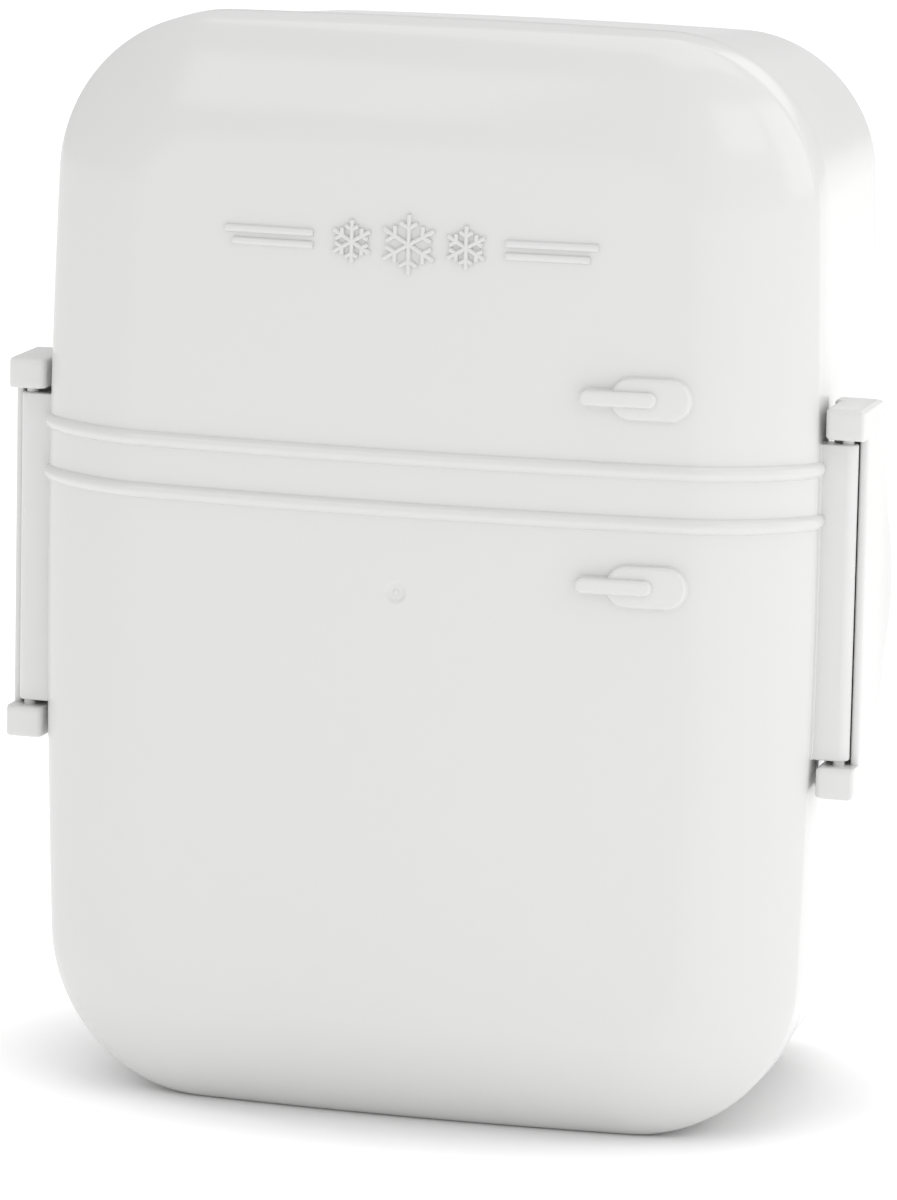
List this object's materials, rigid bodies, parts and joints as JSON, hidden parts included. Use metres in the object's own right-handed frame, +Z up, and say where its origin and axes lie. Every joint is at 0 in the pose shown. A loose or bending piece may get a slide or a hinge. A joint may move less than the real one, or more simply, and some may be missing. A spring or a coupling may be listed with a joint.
{
  "type": "fridge-shaped lunch box",
  "caption": "Upright lunch box moulded like a small retro refrigerator, with a sealed front cover, a deep rear tub, a shelf inside and snap clips hinged at the sides.",
  "frame": {"origin": "middle of the bounding box's underside, on the surface that the box stands on", "axes": "+X to the right seen from the front, -Y out of the front, +Z up"},
  "size_m": [0.1622, 0.0962, 0.2011],
  "materials": {
    "lid_plastic": "smooth glossy white",
    "tub_plastic": "smooth glossy white",
    "clip_plastic": "smooth glossy white",
    "shelf_plastic": "satin frosted",
    "silicone": "soft translucent silicone"
  },
  "bodies": {
    "tub": {"rear_tub": "tub_plastic", "shelf_divider": "shelf_plastic"},
    "lid": {"lid_shell": "lid_plastic", "lid_gasket": "silicone"},
    "left_clip": {"left_clip": "clip_plastic"},
    "right_clip": {"right_clip": "clip_plastic"}
  },
  "joints": [
    {"name": "lid_lift_off", "type": "slide", "parent": "tub", "child": "lid", "axis": [0, -1, 0], "range_m": [0, 0.09]},
    {"name": "left_clip_swing", "type": "hinge", "parent": "lid", "child": "left_clip", "pos_m": [-0.0769, -0.02731, 0.1], "axis": [0, 0, 1], "range_deg": [0, 90]},
    {"name": "right_clip_swing", "type": "hinge", "parent": "lid", "child": "right_clip", "pos_m": [0.0769, -0.02731, 0.1], "axis": [0, 0, -1], "range_deg": [0, 90]}
  ]
}
